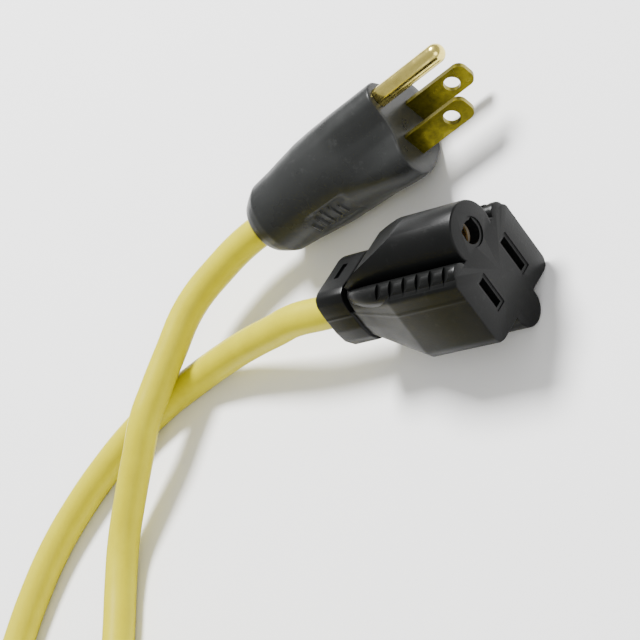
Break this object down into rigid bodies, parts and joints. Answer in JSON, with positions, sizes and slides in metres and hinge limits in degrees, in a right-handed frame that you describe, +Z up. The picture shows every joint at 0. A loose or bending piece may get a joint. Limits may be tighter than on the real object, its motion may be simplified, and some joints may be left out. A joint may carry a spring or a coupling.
{
  "type": "extension cord",
  "caption": "Grounded extension cord with a moulded blade plug at one end, a moulded socket connector at the other, and its spare length in a tied coil.",
  "frame": {"origin": "on the ground, under the middle of the connector as it lies", "axes": "+X along the connector towards its mouth, +Z up from the ground"},
  "size_m": [0.1707, 0.3068, 0.0524],
  "materials": {
    "connector_black": "moulded black vinyl, satin",
    "plug_grey": "moulded dark grey vinyl, satin",
    "carrier_plastic": "stiff moulded insert",
    "blade_brass": "polished",
    "contact_brass": "stamped",
    "copper": "bare copper strands",
    "line_insulation": "black wire insulation",
    "neutral_insulation": "white wire insulation",
    "ground_insulation": "green wire insulation",
    "cord_jacket": "yellow vinyl jacket, satin",
    "tie_strap": "black hook-and-loop strap"
  },
  "bodies": {
    "root": {"connector_body": "connector_black", "contact_carrier": "carrier_plastic", "line_contact": "contact_brass", "neutral_contact": "contact_brass", "ground_contact": "contact_brass", "connector_line_wire": "line_insulation", "connector_neutral_wire": "neutral_insulation", "connector_ground_wire": "ground_insulation", "connector_line_strands": "copper", "connector_neutral_strands": "copper", "connector_ground_strands": "copper", "connector_jacket_end": "cord_jacket", "plug_body": "plug_grey", "blade_bridge": "carrier_plastic", "line_blade": "blade_brass", "neutral_blade": "blade_brass", "ground_pin": "blade_brass", "plug_line_wire": "line_insulation", "plug_neutral_wire": "neutral_insulation", "plug_ground_wire": "ground_insulation", "plug_line_strands": "copper", "plug_neutral_strands": "copper", "plug_ground_strands": "copper", "plug_jacket_end": "cord_jacket", "connector_cord_run": "cord_jacket", "plug_cord_run": "cord_jacket", "cord_coil": "cord_jacket", "coil_tie_right": "tie_strap", "coil_tie_left": "tie_strap"}
  },
  "joints": []
}
